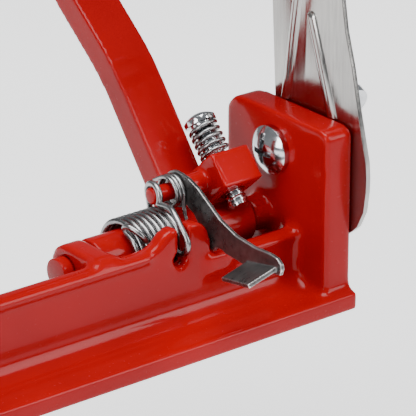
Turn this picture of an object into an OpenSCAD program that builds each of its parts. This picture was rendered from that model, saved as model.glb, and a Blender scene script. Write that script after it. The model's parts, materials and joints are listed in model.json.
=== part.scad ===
/* [Overall] */
// Distance from the foot centre to the face of the block that holds the corer
corer_reach = 98; // [80:1:120]
// Length of the rail behind the foot centre
rail_rear = 72; // [60:1:90]
// Height of the underside of the rail above the table
rail_height = 66; // [52:1:90]
// Height of the spindle above the pivot of the peeling arm
spindle_rise = 66; // [55:1:80]
// Radius of the bell-shaped foot
foot_radius = 48; // [40:1:60]

/* [Casting] */
// Thickness of the foot flange of the rail
flange_thick = 4; // [3:0.5:6]
// Thickness of the upright web
web_thick = 3.9; // [3:0.1:5]
// Diameter of the bosses that carry the spindle
post_boss = 20; // [17:1:26]

/* [Peeling arm] */
// Diameter of the arm's pivot pin
pivot_pin_d = 6; // [5:0.5:7]
// Diameter of the arm's barrel
barrel_d = 11; // [9.5:0.5:12]
// Thickness of the arm's bar
bar_thick = 6.6; // [5:0.2:8]
// Angle that the latched arm leans away from upright
arm_lean = 38; // [34:1:42]
// Diameter of the adjusting screw
adjust_d = 4.8; // [4:0.2:5.6]

/* [Springs] */
// Wire diameter of the arm spring
spring_wire = 1.4; // [1:0.1:1.7]
// Number of turns of the arm spring
spring_turns = 9; // [6:1:10]

/* [Corer] */
// Thickness of the slicing plate
plate_thick = 1.2; // [0.8:0.1:1.5]
// Outer radius of the coring ring
ring_r = 10.2; // [9.5:0.1:12]

/* [Spindle and crank] */
// Outer diameter of the lead screw
spindle_d = 9.6; // [8:0.2:11.6]
// Distance from the spindle to the crank knob
crank_radius = 66; // [50:1:80]
// Diameter of the crank knob
knob_d = 24; // [18:1:30]
// Length of the crank knob
knob_length = 45; // [36:1:54]

/* [Suction foot] */
// Diameter of the suction stem
stem_d = 14; // [11:1:16]
// Lift of the suction stem
stem_lift = 3; // [2:0.1:3.5]
// Length of the suction lever
lever_length = 48; // [40:1:54]

/* [Hidden] */
$fn = 48;
slack = 0.05;
pivot_z = rail_height + 17.5;
spindle_z = pivot_z + spindle_rise;
flange_top = rail_height + flange_thick;
flange_near = -24;
flange_far = 14;
web_far = -8.3;
web_near = web_far - web_thick;
web_top = pivot_z + 4.5;
ledge_z = pivot_z - 0.7;
block_x = corer_reach;
block_end = block_x + 7.6;
block_top = pivot_z + 24.5;
rail_end = block_x + 7.7;
ear_x0 = block_x - 41.5;
ear_x1 = block_x - 24.4;
rear_post_x = -rail_rear + 4;
post_depth = 10;
front_post_x = -20;
bar_x0 = block_x - 22.5;
bar_x1 = block_x - 11.2;
barrel_x0 = block_x - 48;
barrel_x1 = block_x - 6.1;
bar_w = bar_x1 - bar_x0;
bar_start = 35 + 1.02 * (spindle_rise - 66);
bend_r = 50;
bend_angle = 13;
bar_middle = 14;
hook_r = 25;
hook_angle = 75;
tip_length = 12;
boss_lean = arm_lean + 4;
boss_x0 = block_x - 16.6;
boss_x1 = block_x - 6.2;
screw_x = block_x - 11.4;
screw_q = 8.2;
screw_tip = 0.5;
boss_low = 3.9;
boss_high = 12.1;
spring_high = 20.6;
latch_pin_y = 0.7;
latch_pin_up = 10.9;
latch_pin_x0 = block_x - 31;
latch_x0 = block_x - 23.9;
latch_x1 = latch_x0 + 1;
coil_x0 = block_x - 40.2;
coil_pitch = spring_wire + 0.06;
coil_r = 7.9 - spring_wire / 2;
cut_z = pivot_z + 15.7;
cut_y = -3.4;
plate_x1 = block_end + plate_thick;
ring_x0 = block_x - 4;
fork_x = front_post_x + post_depth / 2 + 2.4;
prong_tip = fork_x + 34;
spindle_x0 = -rail_rear - 98;
crank_x0 = spindle_x0 + 6;
crank_thick = 6;
release_x0 = rear_post_x + post_depth / 2 + 0.4;
release_x1 = release_x0 + 5;
release_y = 16;
release_z = spindle_z + 8;
shaft_z = rail_height - 28;
cam_angle = 35;
cam_r = stem_lift / (2 * sin(cam_angle));
cam_d = 7;
journal_d = 13;
shaft_near = -41;
shaft_far = 35;
top_r = 23.5;
guide_low = shaft_z + 12;
housing_low = 5;
cup_r = foot_radius + 2;
screw_circle = 15.2;

red = [0.72, 0.04, 0.05];
steel = [0.75, 0.76, 0.78];
dark = [0.25, 0.25, 0.26];
black = [0.07, 0.07, 0.08];

function unit(v) = v / norm(v);
function heading(p, i) = unit(p[min(i + 1, len(p) - 1)] - p[max(i - 1, 0)]);
function square_to(n, t) = unit(n - (n * t) * t);
function ring_points(c, n, b, r, sides) =
  [for (k = [0:sides - 1]) c + r * (cos(360 * k / sides) * n + sin(360 * k / sides) * b)];
function wire_normals(t, first) =
  [for (i = 0, n = square_to(first, t[0]);
        i < len(t);
        n = i + 1 < len(t) ? square_to(n, t[i + 1]) : n, i = i + 1) n];
function turned(a, p) = [cos(a) * p[0] - sin(a) * p[1], sin(a) * p[0] + cos(a) * p[1]];
function join(lists) = [for (part = lists) for (item = part) item];
function coil(x0, pitch, r, a0, turns, y, z, steps = 18) =
  [for (i = [0:turns * steps])
    [x0 + pitch * i / steps, y + r * cos(a0 + 360 * i / steps), z + r * sin(a0 + 360 * i / steps)]];

// A round wire that follows a list of points
module wire(path, d, first = [1, 0.1, 0.05], sides = 10) {
  t = [for (i = [0:len(path) - 1]) heading(path, i)];
  n = wire_normals(t, first);
  last = (len(path) - 1) * sides;
  points = join([for (i = [0:len(path) - 1])
    ring_points(path[i], n[i], cross(t[i], n[i]), d / 2, sides)]);
  walls = join([for (i = [0:len(path) - 2]) join([for (k = [0:sides - 1])
    let (a = i * sides + k, b = i * sides + (k + 1) % sides)
      [[a, a + sides, b], [b, a + sides, b + sides]]])]);
  caps = [[for (k = [0:sides - 1]) k], [for (k = [sides - 1:-1:0]) last + k]];
  polyhedron(points = points, faces = concat(walls, caps), convexity = 10);
}

// Extrudes an outline drawn across the rail between two places along it
module along_x(x0, x1) {
  translate([x0, 0, 0])
    rotate([90, 0, 90])
      linear_extrude(x1 - x0)
        children();
}

module rod_x(x0, x1, d, y = 0, z = 0) {
  translate([x0, y, z])
    rotate([0, 90, 0])
      cylinder(h = x1 - x0, d = d);
}

module rod_y(y0, y1, d, x = 0, z = 0) {
  translate([x, y0, z])
    rotate([-90, 0, 0])
      cylinder(h = y1 - y0, d = d);
}

// Places children on the arm's pivot with y across the arm and z along the rail
module at_pivot(x0, lean) {
  translate([x0, 0, pivot_z])
    rotate([90, 0, 90])
      rotate([0, 0, -lean])
        children();
}

// Places children past the arm's first bend
module past_bend() {
  at_pivot(bar_x0, arm_lean)
    translate([bend_r + bar_thick / 2, bar_start, 0])
      rotate([0, 0, -bend_angle])
        translate([-bend_r - bar_thick / 2, 0, 0])
          children();
}

// Places children at the arm's tip, with the spindle towards -x
module at_tip() {
  past_bend()
    translate([bar_thick / 2 - hook_r, bar_middle, 0])
      rotate([0, 0, hook_angle])
        translate([hook_r - bar_thick / 2, 0, 0])
          children();
}

// One long edge of the bar's side view, at a distance x from the face towards the spindle
function bar_side(x) =
  let (
    bend_mid = [bend_r + bar_thick / 2, bar_start],
    hook_mid = bend_mid + turned(-bend_angle, [-bend_r - bar_thick / 2, 0] + [bar_thick / 2 - hook_r, bar_middle])
  )
  concat(
    [[x, -3.6]],
    [for (i = [0:4]) bend_mid + turned(-bend_angle * i / 4, [x - bend_r - bar_thick / 2, 0])],
    [for (i = [0:15]) hook_mid + turned(hook_angle * i / 15 - bend_angle, [x - bar_thick / 2 + hook_r, 0])],
    [hook_mid + turned(hook_angle - bend_angle, [x - bar_thick / 2 + hook_r, tip_length])]
  );

module pan_head(d, h) {
  intersection() {
    cylinder(h = h, d = d);
    translate([0, 0, h - d * 0.75])
      sphere(d = d * 1.5);
  }
}

module cross_slot(d, depth) {
  for (a = [0, 90])
    rotate([0, 0, a])
      translate([-d / 2, -d / 9, -depth])
        cube([d, d / 4.5, depth + 1]);
}

module wing_nut(d, reach, tall, bore) {
  difference() {
    union() {
      cylinder(h = d * 0.55, d1 = d, d2 = d * 0.85);
      for (s = [-1, 1])
        translate([s * reach * 0.62, 0, tall - reach * 0.42])
          rotate([90, 0, 0])
            cylinder(h = 2, r = reach * 0.42, center = true);
      for (s = [0, 1])
        mirror([s, 0, 0])
          translate([0, 1, 0])
            rotate([90, 0, 0])
              linear_extrude(2)
                polygon([[d * 0.3, 0], [d * 0.5, 0.4], [reach, tall - reach * 0.42],
                         [reach * 0.3, tall - reach * 0.2]]);
    }
    translate([0, 0, -1])
      cylinder(h = tall + 2, d = bore);
  }
}

module block_outline() {
  translate([-21.3, rail_height])
    square([34.5, block_top - rail_height - 5]);
  translate([-18.8, rail_height])
    square([27, block_top - rail_height]);
  translate([-21.3, rail_height])
    square([29.5, block_top - rail_height - 2.5]);
  translate([8.2, block_top - 5])
    circle(r = 5);
  translate([-18.8, block_top - 2.5])
    circle(r = 2.5);
}

module post(x) {
  along_x(x - post_depth / 2, x + post_depth / 2)
    difference() {
      union() {
        polygon([[web_near, rail_height + 1], [flange_far, rail_height + 1], [8.5, spindle_z], [-8.5, spindle_z]]);
        translate([0, spindle_z])
          circle(d = post_boss);
      }
      translate([0, spindle_z])
        circle(d = spindle_d + 2 * slack);
    }
}

module ear_outline() {
  polygon([[ear_x0 - 1, web_top - 3], [ear_x0, web_top], [ear_x0 + 2.6, web_top + 0.7],
           [ear_x0 + 4.6, web_top + 3], [ear_x0 + 6.6, web_top + 3.8], [ear_x0 + 13.6, web_top + 3.8],
           [ear_x0 + 15.8, web_top + 2.5], [ear_x1, web_top - 0.5], [ear_x1, flange_top], [ear_x0 - 1, flange_top]]);
}

module frame_casting() {
  color(red)
    difference() {
      union() {
        translate([-rail_rear, flange_near, rail_height])
          cube([rail_rear + rail_end, flange_far - flange_near, flange_thick]);
        translate([0, 0, rail_height])
          cylinder(h = flange_thick, r = top_r);
        along_x(-rail_rear, block_x + 1)
          polygon([[web_near - 4.5, flange_top - 0.5], [web_far + 4.5, flange_top - 0.5],
                   [web_far + 1.2, flange_top + 1.6], [web_far, flange_top + 3.4],
                   [web_near, flange_top + 3.4], [web_near - 1.2, flange_top + 1.6]]);
        translate([-rail_rear, web_near, flange_top])
          cube([rail_rear + ear_x0, web_thick, web_top - flange_top - 0.6]);
        translate([-rail_rear, web_near, flange_top])
          cube([rail_rear + block_x + 1, web_thick, ledge_z - flange_top - 0.6]);
        rod_x(-rail_rear, ear_x0 + 1, 2.6, web_near + 0.7, web_top - 1.3);
        translate([-rail_rear, web_near + 0.7, web_top - 1.4])
          cube([rail_rear + ear_x0, web_thick - 0.7, 1.4]);
        rod_x(ear_x1 - 2, block_x + 1, 2.6, web_near + 0.7, ledge_z - 1.3);
        translate([ear_x1 - 2, web_near + 0.7, ledge_z - 1.4])
          cube([block_x - ear_x1 + 3, web_thick - 0.7, 1.4]);
        translate([0, web_far, 0])
          rotate([90, 0, 0])
            linear_extrude(web_thick)
              ear_outline();
        translate([block_x - 25.7, web_near - 0.9, ledge_z - 4])
          cube([6.3, 2.5, 4.6]);
        along_x(block_x - 54.1, block_x - 48.3) {
          translate([0, pivot_z])
            circle(r = 5.7);
          translate([web_near + 1, pivot_z - 5.7])
            square([-web_near - 1, 11.4]);
        }
        rod_x(block_x - 5, block_x + 1, 8, 0, pivot_z);
        along_x(block_x, block_end)
          block_outline();
        post(rear_post_x);
        post(front_post_x);
        along_x(rear_post_x - post_depth / 2, release_x0 - 0.4)
          difference() {
            polygon([[4, spindle_z + 4], [release_y - 1, release_z - 5], [release_y + 5, release_z - 3],
                     [release_y + 5, release_z + 3], [release_y, release_z + 5.5], [2, spindle_z + 9]]);
            translate([0, spindle_z])
              circle(d = spindle_d + 2 * slack);
          }
        for (a = [90, 210, 330])
          rotate([0, 0, a])
            translate([screw_circle, 0, rail_height])
              cylinder(h = 9, d = 11);
      }
      rod_x(block_x - 60, block_end - 2, pivot_pin_d + 0.04, 0, pivot_z);
      rod_x(block_x - 1, block_end + 1, 5.2, cut_y, cut_z);
      rod_y(web_near - 1, web_far + 1, 3.8, block_x - 32.4, pivot_z + 0.9);
      translate([block_x - 32.9, web_near - 1, pivot_z + 0.9])
        cube([2.3, web_thick + 2, 12]);
      rod_x(rear_post_x - 20, release_x0 + 1, 5.1, release_y, release_z);
      for (x = [rear_post_x, front_post_x])
        rod_x(x - post_depth, x + post_depth, spindle_d + 2 * slack, 0, spindle_z);
      for (a = [90, 210, 330])
        rotate([0, 0, a])
          translate([screw_circle, 0, rail_height - 1])
            cylinder(h = 8.5, d = 5.04);
    }
}

module suction_housing() {
  color(red)
    difference() {
      union() {
        rotate_extrude()
          polygon([[0, rail_height - 5], [top_r - 4, rail_height - 5], [top_r + 1, shaft_z + 4],
                   [foot_radius - 12, housing_low + 14], [foot_radius - 3.5, housing_low + 7],
                   [foot_radius - 3.5, housing_low], [foot_radius, housing_low],
                   [foot_radius, housing_low + 6], [foot_radius - 2, housing_low + 10],
                   [foot_radius - 9, housing_low + 17], [top_r + 4.5, shaft_z + 5],
                   [top_r + 0.5, rail_height - 10], [top_r, rail_height - 5],
                   [top_r, rail_height - 0.02], [0, rail_height - 0.02]]);
        rod_y(shaft_near + 0.4, -20, journal_d + 8, 0, shaft_z);
        rod_y(20, shaft_far, 16, 0, shaft_z);
        translate([0, 0, guide_low])
          cylinder(h = rail_height - 5 - guide_low, d = stem_d + 6);
      }
      translate([0, 0, guide_low - 1])
        cylinder(h = rail_height - 5 - guide_low, d = stem_d + 2 * slack);
      rod_y(shaft_near - 1, 0, journal_d + 2 * slack, 0, shaft_z);
      rod_y(0, shaft_far + 1, 6 + 2 * slack, 0, shaft_z);
      for (a = [90, 210, 330])
        rotate([0, 0, a])
          translate([screw_circle, 0, rail_height - 8])
            cylinder(h = 10, d = 5.3);
    }
}

module suction_cup() {
  color(black)
    difference() {
      union() {
        rotate_extrude()
          polygon([[0, 0.8], [foot_radius - 14, 0.8], [foot_radius - 12, 0], [cup_r - 1, 0], [cup_r, 1],
                   [cup_r, 7], [cup_r - 1.5, 8], [foot_radius + 0.05, 7], [foot_radius + 0.05, 4.95],
                   [foot_radius - 16, 4.2], [18, 4.2], [14, 9], [0, 9]]);
      }
      translate([0, 0, 3])
        cylinder(h = 3.05, r = 10.05);
      translate([0, 0, 5])
        cylinder(h = 5, d = 8.05);
    }
}

module suction_stem() {
  color(steel)
    difference() {
      union() {
        translate([0, 0, 3])
          cylinder(h = 3, r = 10);
        translate([0, 0, 5])
          cylinder(h = 8, d = 8);
        translate([0, 0, 12])
          cylinder(h = rail_height - 10 - 12, d = stem_d);
        translate([-9, -7, shaft_z - 9])
          cube([20, 14, 17]);
      }
      translate([cam_r * cos(cam_angle) - 4.9, -8, shaft_z - stem_lift / 2 - cam_d / 2 - 0.1])
        cube([9.6, 16, cam_d + 0.2]);
    }
}

module suction_lever() {
  color(steel)
    union() {
      rod_y(shaft_near - 5.5, shaft_near, 20, 0, shaft_z);
      rod_y(shaft_near - 1, -7.8, journal_d, 0, shaft_z);
      rod_y(-8.5, 8.6, cam_d, cam_r * cos(cam_angle), shaft_z - stem_lift / 2);
      rod_y(8, shaft_far + 3.5, 6, 0, shaft_z);
      translate([0, shaft_near - 5.5, shaft_z])
        rotate([0, cam_angle, 0])
          translate([-lever_length + 20, 0, -4])
            cube([lever_length - 20, 5.5, 8]);
      translate([0, shaft_near - 2.8, shaft_z])
        rotate([0, cam_angle - 90, 0])
          cylinder(h = lever_length - 2, d = 5);
    }
}

module lever_grip() {
  color(black)
    translate([0, shaft_near - 2.8, shaft_z])
      rotate([0, cam_angle - 90, 0])
        difference() {
          union() {
            translate([0, 0, lever_length - 20])
              cylinder(h = 18, d1 = 10, d2 = 12);
            translate([0, 0, lever_length - 2.4])
              sphere(d = 12);
          }
          translate([0, 0, lever_length - 21])
            cylinder(h = 19.1, d = 5.04);
        }
}

module lever_clip() {
  color(steel)
    difference() {
      rod_y(shaft_far + 0.4, shaft_far + 1.6, 11, 0, shaft_z);
      rod_y(shaft_far - 1, shaft_far + 3, 6.04, 0, shaft_z);
    }
}

module base_screws() {
  color(steel)
    for (a = [90, 210, 330])
      rotate([0, 0, a])
        translate([screw_circle, 0, rail_height - 5.1]) {
          cylinder(h = 12, d = 5);
          rotate([180, 0, 0])
            difference() {
              pan_head(8.4, 3.2);
              translate([0, 0, 3.2])
                cross_slot(4.5, 1.4);
            }
        }
}

// Outline of the slicing plate across the rail
module plate_outline() {
  up = (spindle_rise - 22) / 44;
  difference() {
    union() {
      polygon([[-13.2, spindle_rise], [-15.9, 22 + 34 * up], [-16.7, 22 + 29.7 * up],
               [-17.9, 22 + 23.1 * up], [-20.3, 22 + 15.4 * up], [-22.3, 22 + 6.9 * up],
               [-24.3, 21.4], [-25.5, 17.2], [-25.8, 13.6], [-25.7, 10.4], [-25, 5.5], [-23.1, 1.6],
               [-21.5, 0], [-18, -2.6], [-13, -4.4], [-8, -4.6], [-3, -3], [1, 0.5], [3.6, 5.5],
               [4.6, 12], [5.2, 22], [6.5, 22 + 23.5 * up], [9, 22 + 34 * up], [12.2, spindle_rise]]);
      translate([0, spindle_rise])
        circle(r = 12.2);
    }
    translate([0, spindle_rise])
      circle(r = ring_r + 0.02);
    translate([cut_y, cut_z - pivot_z])
      circle(d = 5.2);
  }
}

// One pressed rib, between two places given across the rail and above the pivot
module plate_rib(y0, z0, y1, z1) {
  long = norm([y1 - y0, z1 - z0]);
  translate([block_end + 1, y0, pivot_z + z0])
    rotate([-atan2(y1 - y0, z1 - z0), 0, 0]) {
      cylinder(h = long, d = 3.8);
      translate([0, 0, long])
        sphere(d = 3.8);
    }
}

module slicer_plate() {
  color(steel)
    difference() {
      union() {
        translate([block_end + 0.01, 0, pivot_z])
          rotate([90, 0, 90])
            linear_extrude(plate_thick)
              plate_outline();
        plate_rib(1.9, 22, -2.8, spindle_rise - 12.6);
        plate_rib(-15.2, 21.5, -7, spindle_rise - 20.7);
      }
      translate([plate_x1 - 0.01, -30, pivot_z - 10])
        cube([4, 60, 120]);
      translate([block_end - 5, -30, block_top - 8])
        cube([5.01, 60, 8.01]);
    }
}

module coring_ring() {
  color(steel)
    difference() {
      union() {
        translate([ring_x0, 0, spindle_z])
          rotate([0, 90, 0])
            cylinder(h = 2, r1 = ring_r - 0.8, r2 = ring_r);
        rod_x(ring_x0 + 2, plate_x1 + 2, 2 * ring_r, 0, spindle_z);
      }
      rod_x(ring_x0 - 1, plate_x1 + 3, 2 * ring_r - 2, 0, spindle_z);
    }
}

module corer_screw() {
  color(steel)
    translate([block_x - 0.02, cut_y, cut_z])
      rotate([0, 90, 0]) {
        cylinder(h = 20, d = 5);
        rotate([180, 0, 0])
          difference() {
            pan_head(11.2, 3.6);
            translate([0, 0, 3.6])
              cross_slot(5.6, 1.8);
          }
      }
}

module corer_wing_nut() {
  color(steel)
    translate([plate_x1 + 1.3, cut_y, cut_z])
      rotate([30, 0, 0])
        rotate([0, 90, 0])
          wing_nut(9.5, 14, 12, 5.04);
}

module corer_washer() {
  color(steel)
    difference() {
      rod_x(plate_x1 + 0.02, plate_x1 + 1.28, 9, cut_y, cut_z);
      rod_x(plate_x1 - 1, plate_x1 + 3, 5.1, cut_y, cut_z);
    }
}

module pivot_pin() {
  color(red)
    union() {
      rod_x(block_x - 54.3, block_end - 2.1, pivot_pin_d, 0, pivot_z);
      rod_x(block_x - 56.7, block_x - 54.12, pivot_pin_d + 0.8, 0, pivot_z);
    }
}

module peeling_arm() {
  color(red)
    difference() {
      union() {
        rod_x(barrel_x0, barrel_x1, barrel_d, 0, pivot_z);
        at_pivot(bar_x0, arm_lean)
          linear_extrude(bar_w)
            polygon(concat(bar_side(0), [for (i = [len(bar_side(0)) - 1:-1:0]) bar_side(bar_thick)[i]]));
        at_pivot(boss_x0, boss_lean)
          translate([-13.8, boss_low, 0])
            cube([15, boss_high - boss_low, boss_x1 - boss_x0]);
        rod_x(bar_x0, boss_x0 + 1, 5, latch_pin_y, pivot_z + latch_pin_up);
      }
      rod_x(barrel_x0 - 1, barrel_x1 + 1, pivot_pin_d + 2 * slack, 0, pivot_z);
      at_pivot(screw_x, boss_lean)
        translate([-screw_q, boss_low - 8, 0])
          rotate([-90, 0, 0])
            cylinder(h = 20, d = adjust_d + 2 * slack);
      at_tip()
        translate([bar_thick / 2, 7, -1])
          cylinder(h = bar_w + 2, d = 5.1);
      rod_x(bar_x0 - 1, boss_x0 + 2.25, 3.84, latch_pin_y, pivot_z + latch_pin_up);
    }
}

module latch_pin() {
  color(red)
    rod_x(latch_pin_x0, boss_x0 + 2.2, 3.8, latch_pin_y, pivot_z + latch_pin_up);
}

// Side outline of the latch, from its eye to the thumb tab
module latch_outline() {
  difference() {
    union() {
      translate([latch_pin_y, latch_pin_up])
        circle(r = 4.2);
      polygon([[-0.5, 15], [-3.4, 14.6], [-6.6, 13.4], [-9.7, 11.45], [-14.3, 8.6], [-19.75, 6.75],
               [-26, 6.2], [-30.9, 6.5], [-33.4, 6.2], [-34.8, 5.2], [-35.1, 4], [-34.6, 2.6],
               [-23.8, 1.4], [-22.8, 0.95], [-18.5, 1.3], [-16.4, 1.4], [-15.1, 1.9], [-13.2, 1.9],
               [-12.4, 0.7], [-10.2, 0.6], [-10, -0.1], [-9.6, -0.35], [-9.1, -0.3], [-8.6, 1.9],
               [-7.9, 4.2], [-5.3, 7.1], [-3.2, 8]]);
    }
    translate([latch_pin_y, latch_pin_up])
      circle(d = 3.96);
  }
}

module arm_latch() {
  color(dark)
    union() {
      translate([latch_x0, 0, pivot_z])
        rotate([90, 0, 90])
          linear_extrude(latch_x1 - latch_x0)
            latch_outline();
      translate([latch_x1, 0, pivot_z + 1.5])
        rotate([0, -15, 0])
          translate([-8, 0, -1.5])
            rotate([90, 0, 90])
              linear_extrude(8)
                polygon([[-23.8, 1.5], [-33.5, 3.4], [-33.3, 4.4], [-23.6, 2.5]]);
    }
}

// Middle line of the arm spring: left leg, coil, loop over the pin, strand and hook
function spring_path() =
  let (
    turns = spring_turns - 0.2,
    pin = [latch_pin_x0 + 1.5, latch_pin_y, pivot_z + latch_pin_up],
    loop_r = 1.9 + spring_wire / 2 + 0.15,
    start = [block_x, 0, pivot_z]
  )
  concat(
    [start + [-38.1, -7.3, 5], start + [-39.4, -6.6, 6.9], start + [-40.4, -4.2, 8]],
    coil(coil_x0, coil_pitch, coil_r, 110, turns, 0, pivot_z),
    [start + [coil_x0 + coil_pitch * turns - block_x - 0.6, 5, 6.9]],
    [for (a = [-10:21:200]) pin + [-0.005 * (a + 10), loop_r * cos(a), loop_r * sin(a)]],
    [start + [-30.9, -6.2, 10.5], start + [-31.4, -8.8, 9.5], start + [-31.65, -11, 7.7],
     start + [-31.65, -13.1, 5.5], start + [-31.65, -13.2, 3.5], start + [-31.6, -11.8, 1.9],
     start + [-31.8, -9.4, 1.6]]
  );

module arm_spring() {
  color(steel)
    wire(spring_path(), spring_wire);
}

module latch_spring() {
  mid = [latch_x0 - 2.67, latch_pin_y, pivot_z + latch_pin_up];
  color(steel)
    wire(concat(
      [mid + [0, 4.3, 1.4]],
      coil(mid[0], 0.93, 3.4, 60, 7 / 3, latch_pin_y, pivot_z + latch_pin_up),
      [mid + [2.17, -3.5, -3], mid + [2.17, -4.2, -5.6]]
    ), 0.9);
}

module adjust_screw() {
  color(steel)
    at_pivot(screw_x, boss_lean)
      translate([-screw_q, screw_tip, 0])
        rotate([-90, 0, 0]) {
          cylinder(h = 0.7, d1 = adjust_d - 1.4, d2 = adjust_d);
          translate([0, 0, 0.7])
            cylinder(h = spring_high - screw_tip, d = adjust_d);
          translate([0, 0, spring_high - screw_tip + 0.05])
            pan_head(7.3, 2.5);
        }
}

module adjust_spring() {
  color(steel)
    at_pivot(screw_x, boss_lean)
      translate([-screw_q, boss_high + 0.5, 0])
        rotate([-90, 0, 0])
          rotate([0, -90, 0])
            wire(coil(0, (spring_high - boss_high - 1) / 5, 3.1, 0, 5, 0, 0), 0.9);
}

module peeler_blade() {
  color(steel)
    at_tip()
      difference() {
        translate([-9.2, 0.5, -1.5])
          cube([6.88, 11, 14]);
        translate([-8.2, -1, -0.5])
          cube([9, 14, 12]);
        translate([-10, 4, 1])
          cube([3, 2.2, 9]);
      }
}

module blade_bracket() {
  color(steel)
    at_tip()
      difference() {
        union() {
          translate([-2.3, 0, -2.02])
            cube([2, 12, bar_w + 2]);
          translate([-2.3, 0, -2.02])
            cube([8.9, 12, 2]);
        }
        translate([bar_thick / 2, 7, -4])
          cylinder(h = 5, d = 5.1);
      }
}

module bracket_screw() {
  color(steel)
    at_tip()
      translate([bar_thick / 2, 7, -2.04]) {
        cylinder(h = bar_w + 10, d = 5);
        rotate([180, 0, 0])
          difference() {
            pan_head(8.6, 3);
            translate([0, 0, 3])
              cross_slot(4.6, 1.4);
          }
      }
}

module bracket_wing_nut() {
  color(steel)
    at_tip()
      translate([bar_thick / 2, 7, bar_w + 1.3])
        wing_nut(8.4, 8.5, 9, 5.04);
}

module bracket_washer() {
  color(steel)
    at_tip()
      translate([bar_thick / 2, 7, bar_w + 0.02])
        difference() {
          cylinder(h = 1.26, d = 8.4);
          translate([0, 0, -1])
            cylinder(h = 4, d = 5.1);
        }
}

module lead_screw() {
  color(steel)
    union() {
      rod_x(crank_x0 - 6.5, fork_x + 6, 6, 0, spindle_z);
      rod_x(crank_x0 + crank_thick, fork_x, spindle_d, 0, spindle_z);
    }
}

module apple_fork() {
  color(steel)
    difference() {
      union() {
        rod_x(fork_x + 0.02, fork_x + 9, 15, 0, spindle_z);
        for (a = [90, 210, 330])
          translate([0, 0, spindle_z])
            rotate([a, 0, 0])
              translate([fork_x + 8, 5.4, 0])
                rotate([0, 90, 0]) {
                  cylinder(h = prong_tip - fork_x - 16, d = 3);
                  translate([0, 0, prong_tip - fork_x - 16])
                    cylinder(h = 8, d1 = 3, d2 = 0.6);
                }
      }
      rod_x(fork_x - 1, fork_x + 6.02, 6.04, 0, spindle_z);
    }
}

module stop_washer() {
  color(steel)
    difference() {
      rod_x(fork_x - 1.9, fork_x - 0.3, 14, 0, spindle_z);
      rod_x(fork_x - 3, fork_x + 1, spindle_d + 2 * slack, 0, spindle_z);
    }
}

module crank_arm() {
  color(red)
    difference() {
      union() {
        rod_x(crank_x0, crank_x0 + crank_thick + 2, 18, 0, spindle_z);
        along_x(crank_x0, crank_x0 + crank_thick)
          polygon([[-8.9, spindle_z], [-6.5, spindle_z - crank_radius], [6.5, spindle_z - crank_radius], [8.9, spindle_z]]);
        rod_x(crank_x0, crank_x0 + crank_thick, 13, 0, spindle_z - crank_radius);
      }
      rod_x(crank_x0 - 1, crank_x0 + crank_thick + 0.02, 6.04, 0, spindle_z);
      rod_x(crank_x0 + crank_thick, crank_x0 + crank_thick + 4, spindle_d + 0.04, 0, spindle_z);
      rod_x(crank_x0 - 1, crank_x0 + crank_thick + 1, 6.04, 0, spindle_z - crank_radius);
    }
}

module crank_nut() {
  color(steel)
    translate([crank_x0 - 0.02, 0, spindle_z])
      rotate([0, -90, 0])
        difference() {
          union() {
            cylinder(h = 5, d = 11.5, $fn = 6);
            translate([0, 0, 5])
              intersection() {
                translate([0, 0, -1.6])
                  sphere(d = 10.5);
                cylinder(h = 6, d = 12);
              }
          }
          translate([0, 0, -1])
            cylinder(h = 8.5, d = 6.04);
        }
}

module knob_bolt() {
  color(steel)
    union() {
      rod_x(crank_x0 - knob_length + 4, crank_x0 + crank_thick + 1.5, 6, 0, spindle_z - crank_radius);
      rod_x(crank_x0 - knob_length + 1, crank_x0 - knob_length + 4.02, 10, 0, spindle_z - crank_radius);
      rod_x(crank_x0 - 1.6, crank_x0 - 0.02, 11, 0, spindle_z - crank_radius);
    }
}

module crank_knob() {
  color(black)
    translate([crank_x0 - 2, 0, spindle_z - crank_radius])
      rotate([0, -90, 0])
        difference() {
          union() {
            cylinder(h = knob_length * 0.3, d1 = knob_d * 0.66, d2 = knob_d * 0.86);
            translate([0, 0, knob_length * 0.3])
              cylinder(h = knob_length * 0.36, d1 = knob_d * 0.86, d2 = knob_d);
            translate([0, 0, knob_length * 0.66])
              cylinder(h = knob_length * 0.2, d = knob_d);
            translate([0, 0, knob_length * 0.86])
              cylinder(h = knob_length * 0.12, d1 = knob_d, d2 = knob_d * 0.72);
          }
          translate([0, 0, -1])
            cylinder(h = knob_length + 4, d = 6.2);
          translate([0, 0, knob_length - 6.3])
            cylinder(h = 10, d = 10.4);
        }
}

module release_lever() {
  color(red)
    difference() {
      along_x(release_x0, release_x1) {
        difference() {
          polygon([[release_y + 4, release_z - 4], [release_y + 5, release_z + 3], [release_y - 2, release_z + 5.2],
                   [-4, release_z + 7], [-22, release_z + 11], [-31, release_z + 11.5], [-31, release_z + 7.5],
                   [-22, release_z + 7], [-8, release_z + 1.5], [-6.5, spindle_z + 0.3], [-spindle_d / 2 - 0.6, spindle_z + 0.3],
                   [spindle_d * 0.36, spindle_z + spindle_d * 0.39], [8, release_z - 2]]);
          translate([0, spindle_z])
            circle(d = spindle_d + 0.14);
        }
      }
      rod_x(release_x0 - 1, release_x1 + 1, 5.1, release_y, release_z);
    }
}

module release_pin() {
  color(steel)
    union() {
      rod_x(rear_post_x - 4, release_x1 + 5, 5, release_y, release_z);
      rod_x(release_x1 + 4.9, release_x1 + 6.5, 8, release_y, release_z);
    }
}

module release_spring() {
  color(steel)
    wire(concat(
      [[release_x1 + 0.9, release_y - 13, release_z + 3.8], [release_x1 + 0.9, release_y - 3, release_z + 3.4]],
      coil(release_x1 + 0.9, 0.98, 3.4, 90, 3, release_y, release_z),
      [[release_x1 + 4, release_y - 2.4, release_z + 3.4], [release_x1 + 4, release_y - 3.7, release_z + 2.2]]
    ), 0.9);
}

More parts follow.
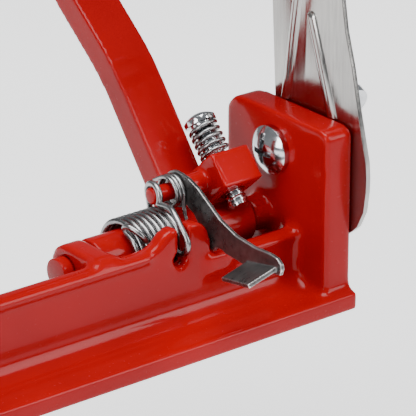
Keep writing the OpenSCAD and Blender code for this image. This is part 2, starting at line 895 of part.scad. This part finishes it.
frame_casting();
suction_housing();
suction_cup();
suction_stem();
suction_lever();
lever_grip();
lever_clip();
base_screws();
slicer_plate();
coring_ring();
corer_screw();
corer_wing_nut();
corer_washer();
pivot_pin();
peeling_arm();
latch_pin();
arm_latch();
arm_spring();
latch_spring();
adjust_screw();
adjust_spring();
peeler_blade();
blade_bracket();
bracket_screw();
bracket_wing_nut();
bracket_washer();
lead_screw();
apple_fork();
crank_arm();
crank_nut();
knob_bolt();
crank_knob();
stop_washer();
release_lever();
release_pin();
release_spring();
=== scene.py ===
import json
import math
import bpy
from mathutils import Matrix, Vector


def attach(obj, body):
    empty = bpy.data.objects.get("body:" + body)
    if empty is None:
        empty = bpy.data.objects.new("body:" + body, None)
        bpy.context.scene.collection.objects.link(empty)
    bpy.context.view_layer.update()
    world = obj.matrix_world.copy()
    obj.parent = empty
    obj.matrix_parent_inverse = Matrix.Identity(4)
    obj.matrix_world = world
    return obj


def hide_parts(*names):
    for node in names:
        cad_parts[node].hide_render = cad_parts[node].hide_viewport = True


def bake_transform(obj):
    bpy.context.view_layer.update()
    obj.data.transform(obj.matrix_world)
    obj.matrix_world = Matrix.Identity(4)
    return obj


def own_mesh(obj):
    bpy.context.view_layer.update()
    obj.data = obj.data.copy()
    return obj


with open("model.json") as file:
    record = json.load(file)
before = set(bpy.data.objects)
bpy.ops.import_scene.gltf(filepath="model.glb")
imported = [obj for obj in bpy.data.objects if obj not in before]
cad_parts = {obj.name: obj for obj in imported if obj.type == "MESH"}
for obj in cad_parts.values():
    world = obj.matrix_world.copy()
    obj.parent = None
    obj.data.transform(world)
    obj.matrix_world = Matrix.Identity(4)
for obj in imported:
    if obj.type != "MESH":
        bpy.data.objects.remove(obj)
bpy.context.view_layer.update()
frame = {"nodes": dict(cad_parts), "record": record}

mm = 0.001
nodes = frame["nodes"]
pivotZ = 83.5                             # height of the peeling arm's axis, which runs along X
spindleZ = 149.5                          # height of the lead screw's axis
latchPin = {"y": 0.7, "z": 94.4}          # the latch pin's axis, also along X
pivot = Vector((0.0, 0.0, pivotZ * mm))
blockX = 98 * mm


# shader helpers
class Val:
    # wraps a socket so that maths reads as an expression
    def __init__(self, mat, sock):
        self.mat = mat
        self.sock = sock

    def maths(self, op, a, b=0.0):
        return self.mat.node("ShaderNodeMath", {"operation": op}, {0: a, 1: b})

    def __add__(self, o):
        return self.maths("ADD", self, o)

    def __radd__(self, o):
        return self.maths("ADD", o, self)

    def __sub__(self, o):
        return self.maths("SUBTRACT", self, o)

    def __rsub__(self, o):
        return self.maths("SUBTRACT", o, self)

    def __mul__(self, o):
        return self.maths("MULTIPLY", self, o)

    def __rmul__(self, o):
        return self.maths("MULTIPLY", o, self)


class Finish:
    # one material, with its nodes added by a single method
    def __init__(self, name):
        self.mat = bpy.data.materials.new(name)
        self.mat.use_nodes = True
        self.tree = self.mat.node_tree
        self.shader = self.tree.nodes["Principled BSDF"]

    def node(self, kind, settings=None, inputs=None, out=0):
        n = self.tree.nodes.new(kind)
        for key, value in (settings or {}).items():
            if key == "stops":
                ramp = n.color_ramp
                while len(ramp.elements) < len(value):
                    ramp.elements.new(0.5)
                for element, (place, colour) in zip(ramp.elements, value):
                    element.position = place
                    element.color = colour
            else:
                setattr(n, key, value)
        for key, value in (inputs or {}).items():
            if isinstance(value, Val):
                self.tree.links.new(value.sock, n.inputs[key])
            else:
                n.inputs[key].default_value = value
        return Val(self, n.outputs[out])

    def place(self, stretch=(1, 1, 1)):
        spot = self.node("ShaderNodeTexCoord", out="Object")
        return self.node("ShaderNodeMapping", {}, {"Vector": spot, "Scale": stretch})

    def noise(self, scale, detail=2.0, stretch=(1, 1, 1), rough=0.5):
        return self.node("ShaderNodeTexNoise", {}, {"Vector": self.place(stretch), "Scale": scale,
                                                    "Detail": detail, "Roughness": rough}, out="Fac")

    def ramp(self, value, low, high, a=0.0, b=1.0):
        return self.node("ShaderNodeMapRange", {}, {"Value": value, "From Min": low, "From Max": high,
                                                    "To Min": a, "To Max": b})

    def mix(self, mask, a, b):
        return self.node("ShaderNodeMix", {"data_type": "RGBA"}, {0: mask, 6: a, 7: b}, out=2)

    def pointed(self):
        # above a half on outer edges, below it in corners
        return self.node("ShaderNodeNewGeometry", out="Pointiness")

    def bump(self, height, depth, strength=1.0):
        return self.node("ShaderNodeBump", {}, {"Height": height, "Distance": depth, "Strength": strength})

    def feed(self, **sockets):
        for name, value in sockets.items():
            sock = self.shader.inputs[name.replace("_", " ")]
            if isinstance(value, Val):
                self.tree.links.new(value.sock, sock)
            else:
                sock.default_value = value
        return self.mat


def makeEnamel():
    # a thick gloss coat, its tone varying in soft blotches where it pools a little; the paler red on sharp edges
    # is partly a thinner coat, partly a painted highlight
    f = Finish("redEnamel")
    pool = f.noise(28, 3)
    peel = f.noise(420, 2)
    dust = f.noise(900, 4)
    tone = f.mix(f.ramp(pool, 0.35, 0.68), (0.235, 0.0, 0.0010, 1), (0.30, 0.0004, 0.0020, 1))
    # painted highlight: high-pointiness edges get a paler red (partly a thinner coat, partly painted edge
    # reflections)
    tone = f.mix(f.ramp(f.pointed(), 0.53, 0.60), tone, (0.36, 0.003, 0.004, 1))
    return f.feed(Base_Color=tone, Roughness=f.ramp(dust, 0.45, 0.75, 0.20, 0.30),
                  Coat_Weight=0.22, Coat_Roughness=0.03, Coat_IOR=1.4, Specular_IOR_Level=0.08,
                  Normal=f.bump(peel + pool * 2, 0.00010, 0.35))


def makeSteel(name, dark, light, roughness, grain, stretch, depth=0.00002, metallic=1.0):
    # drawn or brushed metal: fine scratches along one direction, with soft cloudy marks
    f = Finish(name)
    lines = f.noise(grain, 3, stretch)
    cloud = f.noise(60, 3)
    tone = f.mix(f.ramp(lines * 0.5 + cloud * 0.5, 0.36, 0.64), dark, light)
    rough = f.ramp(lines + cloud * 0.6, 0.5, 1.1, roughness[0], roughness[1])
    return f.feed(Base_Color=tone, Metallic=metallic, Roughness=rough,
                  Normal=f.bump(lines, depth, 0.5))


def makeLatchSteel():
    # dark sheet whose edges are rubbed bright
    f = Finish("latchSteel")
    lines = f.noise(240, 3, (1, 3, 3))
    cloud = f.noise(70, 3)
    worn = f.ramp(f.pointed() + cloud * 0.03, 0.535, 0.585)
    sheet = f.mix(f.ramp(lines * 0.5 + cloud * 0.5, 0.36, 0.64), (0.095, 0.090, 0.090, 1), (0.18, 0.175, 0.172, 1))
    return f.feed(Base_Color=f.mix(worn, sheet, (0.62, 0.61, 0.60, 1)), Metallic=0.9,
                  Roughness=f.ramp(lines + cloud * 0.6, 0.5, 1.1, 0.24, 0.38), Normal=f.bump(lines, 0.00002, 0.5))


def makeMoulding(name, tone, roughness, depth):
    f = Finish(name)
    grain = f.noise(700, 3)
    wide = f.noise(40, 2)
    colour = f.mix(f.ramp(wide, 0.4, 0.65), tone, tuple(min(1, c * 1.7 + 0.004) for c in tone[:3]) + (1,))
    return f.feed(Base_Color=colour, Roughness=f.ramp(grain, 0.35, 0.7, *roughness),
                  Normal=f.bump(grain, depth, 0.5))


finishes = {
    "red_enamel": makeEnamel(),
    "stainless": makeSteel("stainless", (0.30, 0.29, 0.28, 1), (0.44, 0.43, 0.41, 1),
                           (0.12, 0.24), 260, (1, 6, 0.35)),
    "spring_steel": makeSteel("springSteel", (0.17, 0.17, 0.175, 1), (0.36, 0.36, 0.36, 1),
                              (0.20, 0.34), 500, (1, 1, 1)),
    "latch_steel": makeLatchSteel(),
    "zinc": makeSteel("zinc", (0.42, 0.43, 0.44, 1), (0.62, 0.63, 0.65, 1),
                      (0.07, 0.17), 420, (1, 1, 1)),
    "chrome": makeSteel("chrome", (0.62, 0.62, 0.64, 1), (0.80, 0.80, 0.82, 1),
                        (0.06, 0.14), 300, (0.2, 1, 1), 0.00001),
    "black_plastic": makeMoulding("blackPlastic", (0.012, 0.012, 0.013, 1), (0.28, 0.42), 0.00003),
    "black_rubber": makeMoulding("blackRubber", (0.022, 0.021, 0.021, 1), (0.62, 0.82), 0.00005),
}
slotOf = {part["node"]: part["material_slot"] for part in frame["record"]["subparts"]}
print("finishes made")


# modelling helpers
def clearAll():
    if bpy.context.object and bpy.context.object.mode != "OBJECT":
        bpy.ops.object.mode_set(mode="OBJECT")
    bpy.ops.object.select_all(action="DESELECT")


def pick(*objs):
    clearAll()
    for o in objs:
        o.select_set(True)
    bpy.context.view_layer.objects.active = objs[0]


def finishMod(obj, kind, **settings):
    pick(obj)
    mod = obj.modifiers.new(kind.lower(), kind)
    for key, value in settings.items():
        setattr(mod, key, value)
    bpy.ops.object.modifier_apply(modifier=mod.name)


def settle(obj):
    # puts the piece's place into its mesh
    pick(obj)
    bpy.ops.object.transform_apply(location=True, rotation=True, scale=True)


def smooth(obj, angle=35):
    pick(obj)
    bpy.ops.object.shade_smooth_by_angle(angle=math.radians(angle))


def outward(obj):
    pick(obj)
    bpy.ops.object.mode_set(mode="EDIT")
    bpy.ops.mesh.select_all(action="SELECT")
    bpy.ops.mesh.remove_doubles(threshold=0.000002)
    bpy.ops.mesh.normals_make_consistent(inside=False)
    bpy.ops.object.mode_set(mode="OBJECT")


def dress(obj, name, body, slotName, *replaced):
    obj.name = name
    obj.data.name = name
    obj.data.materials.clear()
    obj.data.materials.append(finishes[slotName])
    if replaced:
        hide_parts(*replaced)
    if body:
        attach(obj, body)
    return obj


def copyNode(node):
    # a merged copy of a CAD solid to work on, with its flat faces made whole again
    obj = nodes[node].copy()
    obj.data = nodes[node].data.copy()
    obj.parent = None
    obj.matrix_world = Matrix.Identity(4)
    for key in list(obj.keys()):
        if key.startswith("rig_"):
            del obj[key]
    bpy.context.scene.collection.objects.link(obj)
    obj.hide_render = False
    obj.hide_viewport = False
    pick(obj)
    bpy.ops.object.mode_set(mode="EDIT")
    bpy.ops.mesh.select_all(action="SELECT")
    bpy.ops.mesh.remove_doubles(threshold=0.000004)
    bpy.ops.object.mode_set(mode="OBJECT")
    return obj


def castCopy(node, voxel, rounds, turn=0.0, factor=0.5, cap=190000):
    # the soft, flowing look of an enamelled casting: every edge and inner corner rounds over
    obj = copyNode(node)
    spin = Matrix.Translation(pivot) @ Matrix.Rotation(turn, 4, "X") @ Matrix.Translation(-pivot)
    obj.data.transform(spin)
    finishMod(obj, "REMESH", mode="VOXEL", voxel_size=voxel, adaptivity=0.0)
    finishMod(obj, "SMOOTH", factor=factor, iterations=rounds)
    count = sum(len(p.vertices) - 2 for p in obj.data.polygons)
    if count > cap:
        finishMod(obj, "DECIMATE", ratio=cap / count)
    obj.data.transform(spin.inverted())
    pick(obj)
    bpy.ops.object.shade_smooth()
    print(node, "cast,", count, "faces before thinning")
    return obj


def machinedCopy(node, width, segments=2, angle=40):
    # a turned or pressed piece with its sharp edges broken
    obj = copyNode(node)
    pick(obj)
    bpy.ops.object.mode_set(mode="EDIT")
    bpy.ops.mesh.select_all(action="SELECT")
    bpy.ops.mesh.dissolve_limited(angle_limit=math.radians(1.5))
    bpy.ops.object.mode_set(mode="OBJECT")
    finishMod(obj, "BEVEL", width=width, segments=segments, limit_method="ANGLE",
              angle_limit=math.radians(angle), use_clamp_overlap=True)
    smooth(obj, 40)
    return obj


def tube(points, radius, sides=5):
    # a round wire swept along points, in millimetres
    clearAll()
    bpy.ops.curve.primitive_nurbs_path_add()
    curve = bpy.context.object
    data = curve.data
    data.splines.clear()
    line = data.splines.new("POLY")
    line.points.add(len(points) - 1)
    for p, spot in zip(line.points, points):
        p.co = (*(Vector(spot) * mm), 1)
    data.bevel_depth = radius * mm
    data.bevel_resolution = sides
    data.use_fill_caps = True
    data.twist_mode = "MINIMUM"
    curve.matrix_world = Matrix.Identity(4)
    pick(curve)
    bpy.ops.object.convert(target="MESH")
    obj = bpy.context.object
    outward(obj)
    smooth(obj, 50)
    return obj


def curvePoints(ctrl, steps=8):
    # a smooth line through control points, rounded at every bend
    pts = [Vector(p) for p in ctrl]
    out = []
    for i in range(len(pts) - 1):
        p0 = pts[max(i - 1, 0)]
        p1, p2 = pts[i], pts[i + 1]
        p3 = pts[min(i + 2, len(pts) - 1)]
        for k in range(steps):
            t = k / steps
            out.append(0.5 * ((2 * p1) + (p2 - p0) * t + (2 * p0 - 5 * p1 + 4 * p2 - p3) * t * t
                              + (3 * p1 - p0 - 3 * p2 + p3) * t ** 3))
    out.append(pts[-1])
    return out


def helix(x0, pitch, r, a0, turns, y, z, steps=36):
    return [(x0 + pitch * i / steps, y + r * math.cos(math.radians(a0 + 360 * i / steps)),
             z + r * math.sin(math.radians(a0 + 360 * i / steps))) for i in range(int(turns * steps) + 1)]


def joinAll(objs):
    pick(*objs)
    bpy.ops.object.join()
    return bpy.context.object


# camera and light
view = {"azimuth": -38.4, "elevation": 22.7, "distance": 0.667, "lens": 259.6, "left": 0.01223, "up": 0.00044}


def aimCamera():
    a, e = math.radians(view["azimuth"]), math.radians(view["elevation"])
    back = Vector((math.sin(a) * math.cos(e), -math.cos(a) * math.cos(e), math.sin(e)))
    right = Vector((math.cos(a), math.sin(a), 0))
    up = back.cross(right)
    spot = Vector((blockX, 0, pivot.z)) + back * view["distance"] - right * view["left"] + up * view["up"]
    clearAll()
    bpy.ops.object.camera_add(location=spot)
    cam = bpy.context.object
    cam.matrix_world = Matrix.Translation(spot) @ Matrix((right, up, back)).transposed().to_4x4()
    cam.data.lens = view["lens"]
    cam.data.sensor_width = 36
    bpy.context.scene.camera = cam


def addLight(name, spot, target, size, power, tint=(1, 1, 1)):
    clearAll()
    bpy.ops.object.light_add(type="AREA", location=spot)
    lamp = bpy.context.object
    lamp.name = name
    lamp.data.shape = "RECTANGLE"
    lamp.data.size, lamp.data.size_y = size
    lamp.data.energy = power
    lamp.data.color = tint
    lamp.rotation_euler = (Vector(target) - Vector(spot)).to_track_quat("-Z", "Y").to_euler()


def makeStage():
    clearAll()
    bpy.ops.mesh.primitive_plane_add(size=6, location=(0, 0, 0))
    floor = bpy.context.object
    floor.name = "floor"
    settle(floor)
    f = Finish("paleFloor")
    cloud = f.noise(3, 2)
    tone = f.mix(f.ramp(cloud, 0.3, 0.7), (0.86, 0.865, 0.87, 1), (0.90, 0.90, 0.905, 1))
    east = f.node("ShaderNodeSeparateXYZ", {}, {0: f.place()}, out="X")
    north = f.node("ShaderNodeSeparateXYZ", {}, {0: f.place()}, out="Y")
    # painted light: the floor glows through emission, dim at the front-left and full bright towards the back, a
    # painted falloff of the studio light
    depth = f.ramp(east * 0.36 + north * 0.93, -0.15, 0.35)
    paintedFloorGlow = f.mix(depth, (0.50, 0.505, 0.52, 1), (1.0, 1.0, 0.99, 1))
    floor.data.materials.append(f.feed(Base_Color=tone, Roughness=0.6, Specular_IOR_Level=0.2,
                                       Emission_Color=paintedFloorGlow, Emission_Strength=0.85))
    world = bpy.data.worlds.new("studio") if not bpy.context.scene.world else bpy.context.scene.world
    bpy.context.scene.world = world
    world.use_nodes = True
    world.node_tree.nodes["Background"].inputs["Color"].default_value = (0.95, 0.97, 1.0, 1)
    world.node_tree.nodes["Background"].inputs["Strength"].default_value = 0.32
    addLight("topSoftbox", (-0.1, -0.1, 1.1), (0.05, 0, 0.1), (0.9, 0.7), 20)
    addLight("leftSoftbox", (-1.0, -0.35, 0.55), (0.07, 0, 0.1), (0.5, 0.7), 9)
    addLight("rightStrip", (0.65, -0.8, 0.6), (0.09, 0, 0.1), (0.3, 0.8), 6)


aimCamera()
makeStage()
print("camera and stage set")


# castings
casting = {"voxel": 0.75 * mm, "rounds": 7}
frameCasting = castCopy("frame_casting", casting["voxel"], casting["rounds"])
dress(frameCasting, "frameCasting", "frame", "red_enamel", "frame_casting")

armCasting = {"voxel": 0.42 * mm, "rounds": 5, "lean": 38}
peelingArm = castCopy("peeling_arm", armCasting["voxel"], armCasting["rounds"], math.radians(armCasting["lean"]))
dress(peelingArm, "peelingArm", "arm", "red_enamel", "peeling_arm")

footCasting = {"voxel": 0.95 * mm, "rounds": 10}
suctionHousing = castCopy("suction_housing", footCasting["voxel"], footCasting["rounds"])
dress(suctionHousing, "suctionHousing", "frame", "red_enamel", "suction_housing")

crankCasting = {"voxel": 0.5 * mm, "rounds": 5}
crankArm = castCopy("crank_arm", crankCasting["voxel"], crankCasting["rounds"])
dress(crankArm, "crankArm", "spindle", "red_enamel", "crank_arm")
releaseLever = castCopy("release_lever", 0.35 * mm, 4)
dress(releaseLever, "releaseLever", "release", "red_enamel", "release_lever")
armLatch = castCopy("arm_latch", 0.2 * mm, 4)
dress(armLatch, "armLatch", "latch", "latch_steel", "arm_latch")
print("castings made")

# small machined pieces
broken = {
    "pivot_pin": ("frame", 0.35), "latch_pin": ("arm", 0.5), "coring_ring": ("frame", 0.12),
    "corer_screw": ("frame", 0.25), "corer_washer": ("frame", 0.15), "corer_wing_nut": ("frame", 0.3),
    "bracket_screw": ("arm", 0.25), "bracket_washer": ("arm", 0.15), "bracket_wing_nut": ("arm", 0.3),
    "peeler_blade": ("arm", 0.15), "blade_bracket": ("arm", 0.3), "apple_fork": ("spindle", 0.25),
    "crank_nut": ("spindle", 0.3), "knob_bolt": ("spindle", 0.3), "stop_washer": ("feed", 0.2),
    "release_pin": ("frame", 0.3), "lever_clip": ("frame", 0.15), "base_screws": ("frame", 0.2),
    "suction_lever": ("foot_lever", 0.5), "lever_grip": ("foot_lever", 0.6), "suction_stem": ("stem", 0.4),
    "crank_knob": ("knob", 1.4), "suction_cup": ("frame", 0.5), "slicer_plate": ("frame", 0.15),
}
for node, (body, width) in broken.items():
    piece = machinedCopy(node, width * mm, 3)
    words = node.split("_")
    dress(piece, words[0] + "".join(w.capitalize() for w in words[1:]), body, slotOf[node], node)
print("machined pieces made")

# springs and screws
# the arm spring: a leg against the ear, the coil round the barrel, then a loop over the latch pin
# and a strand that hooks through the ear's slot
armCoil = {"x0": 57.8, "pitch": 1.46, "r": 7.2, "start": 110, "turns": 8.8, "wire": 0.7, "facets": 6}
turnPoints = helix(armCoil["x0"], armCoil["pitch"], armCoil["r"], armCoil["start"], armCoil["turns"],
                   0, pivotZ, 40)
legPoints = curvePoints([(59.9, -7.3, 88.5), (58.6, -6.6, 90.4), (57.5, -4.2, 91.5),
                         turnPoints[0], turnPoints[3]], 6)[:-1]
coil = tube(legPoints + turnPoints[3:], armCoil["wire"], armCoil["facets"])
dress(coil, "armSpringCoil", None, "spring_steel", "arm_spring")
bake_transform(coil)

loopR = 2.75
pinLoop = [(68.5 - 0.005 * (a + 10), latchPin["y"] + loopR * math.cos(math.radians(a)),
            latchPin["z"] + loopR * math.sin(math.radians(a))) for a in range(-10, 201, 10)]
riser = curvePoints([turnPoints[-2], turnPoints[-1], (70.1, 4.9, 90.4), pinLoop[0], pinLoop[2]], 6)[6:]
strandEnd = curvePoints([pinLoop[-3], pinLoop[-1], (67.1, -6.2, 94.0), (66.6, -8.8, 93.0),
                         (66.35, -11.0, 91.2), (66.35, -13.1, 89.0), (66.35, -13.2, 87.0),
                         (66.4, -11.8, 85.4), (66.2, -9.4, 85.1)], 8)[8:]
strand = tube(riser[:-1] + [Vector(q) for q in pinLoop[2:-1]] + strandEnd, armCoil["wire"], armCoil["facets"])
dress(strand, "armSpringHook", None, "spring_steel")
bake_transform(strand)

fineWire = 0.45                           # radius of the wire of the three small springs
latchTurns = helix(71.43, 0.93, 3.4, 60, 7 / 3, latchPin["y"], latchPin["z"])
latchEnd = curvePoints([latchTurns[-1], (73.6, -2.8, 91.4), (73.6, -3.5, 88.8)], 4)[1:]
latchCoil = tube([(71.43, 5.0, 95.8)] + latchTurns + latchEnd, fineWire, 5)
dress(latchCoil, "latchSpring", "arm", "spring_steel", "latch_spring")

# the adjusting screw leans with the arm's boss
adjuster = {"x": 86.6, "lean": 42, "offset": 8.2, "core": 2.02, "pitch": 0.8, "ridge": 0.38, "coilR": 3.12}
lean = math.radians(adjuster["lean"])
along = Vector((0, math.sin(lean), math.cos(lean)))
across = Vector((0, -math.cos(lean), math.sin(lean)))


def onScrew(s, r, turn):
    # a point beside the adjusting screw's axis: s along it, r out from it
    side = Vector((1, 0, 0)) * math.cos(turn) + along.cross(Vector((1, 0, 0))) * math.sin(turn)
    return Vector((adjuster["x"], 0, pivotZ)) + across * adjuster["offset"] + along * s + side * r


core = tube([onScrew(0.5, 0, 0), onScrew(21, 0, 0)], adjuster["core"], 8)
threadTurns, threadSteps = 24, 24
thread = tube([onScrew(0.9 + adjuster["pitch"] * i / threadSteps, adjuster["core"], math.tau * i / threadSteps)
               for i in range(threadTurns * threadSteps)], adjuster["ridge"], 1)
head = copyNode("adjust_screw")
finishMod(head, "BEVEL", width=0.3 * mm, segments=3, limit_method="ANGLE", angle_limit=math.radians(40))
pick(head)
bpy.ops.object.mode_set(mode="EDIT")
bpy.ops.mesh.select_all(action="SELECT")
cut = onScrew(20.2, 0, 0) * mm
bpy.ops.mesh.bisect(plane_co=cut, plane_no=along, clear_inner=True, use_fill=True)
bpy.ops.object.mode_set(mode="OBJECT")
smooth(head, 40)
adjustScrew = joinAll([core, thread, head])
dress(adjustScrew, "adjustScrew", "screw", "zinc", "adjust_screw")

coilSteps = 200
adjustSpring = tube([onScrew(12.7 + 7.7 * i / coilSteps, adjuster["coilR"], math.tau * 5.2 * i / coilSteps)
                     for i in range(coilSteps + 1)], fineWire)
dress(adjustSpring, "adjustSpring", "arm", "spring_steel", "adjust_spring")
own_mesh(adjustSpring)

# the release spring sits on its pin beside the half-nut lever
releaseLeg = curvePoints([(-57.2, 3.0, 161.3), (-57.2, 13.0, 160.9)], 4)
releaseSpring = tube(releaseLeg + helix(-57.7, 0.98, 3.4, 90, 3, 16, 157.5), fineWire)
dress(releaseSpring, "releaseSpring", "frame", "spring_steel", "release_spring")

# the lead screw: a core, thinner ends and one continuous ridge
leadThread = {"pitch": 5, "r": 3.75, "turns": 27.5, "ridge": 1.05}
lead = tube([(-156, 0, spindleZ), (-12.8, 0, spindleZ)], 3.9, 8)
ends = tube([(-170.4, 0, spindleZ), (-6.6, 0, spindleZ)], 3.0, 8)
ridgeLine = helix(-155, leadThread["pitch"], leadThread["r"], 0, leadThread["turns"], 0, spindleZ, 30)
ridge = tube(ridgeLine, leadThread["ridge"], 2)
leadScrew = joinAll([lead, ends, ridge])
dress(leadScrew, "leadScrew", "spindle", "chrome", "lead_screw")
print("springs and screws made")

for name, obj in nodes.items():
    obj.data.materials.clear()
    obj.data.materials.append(finishes[slotOf[name]])
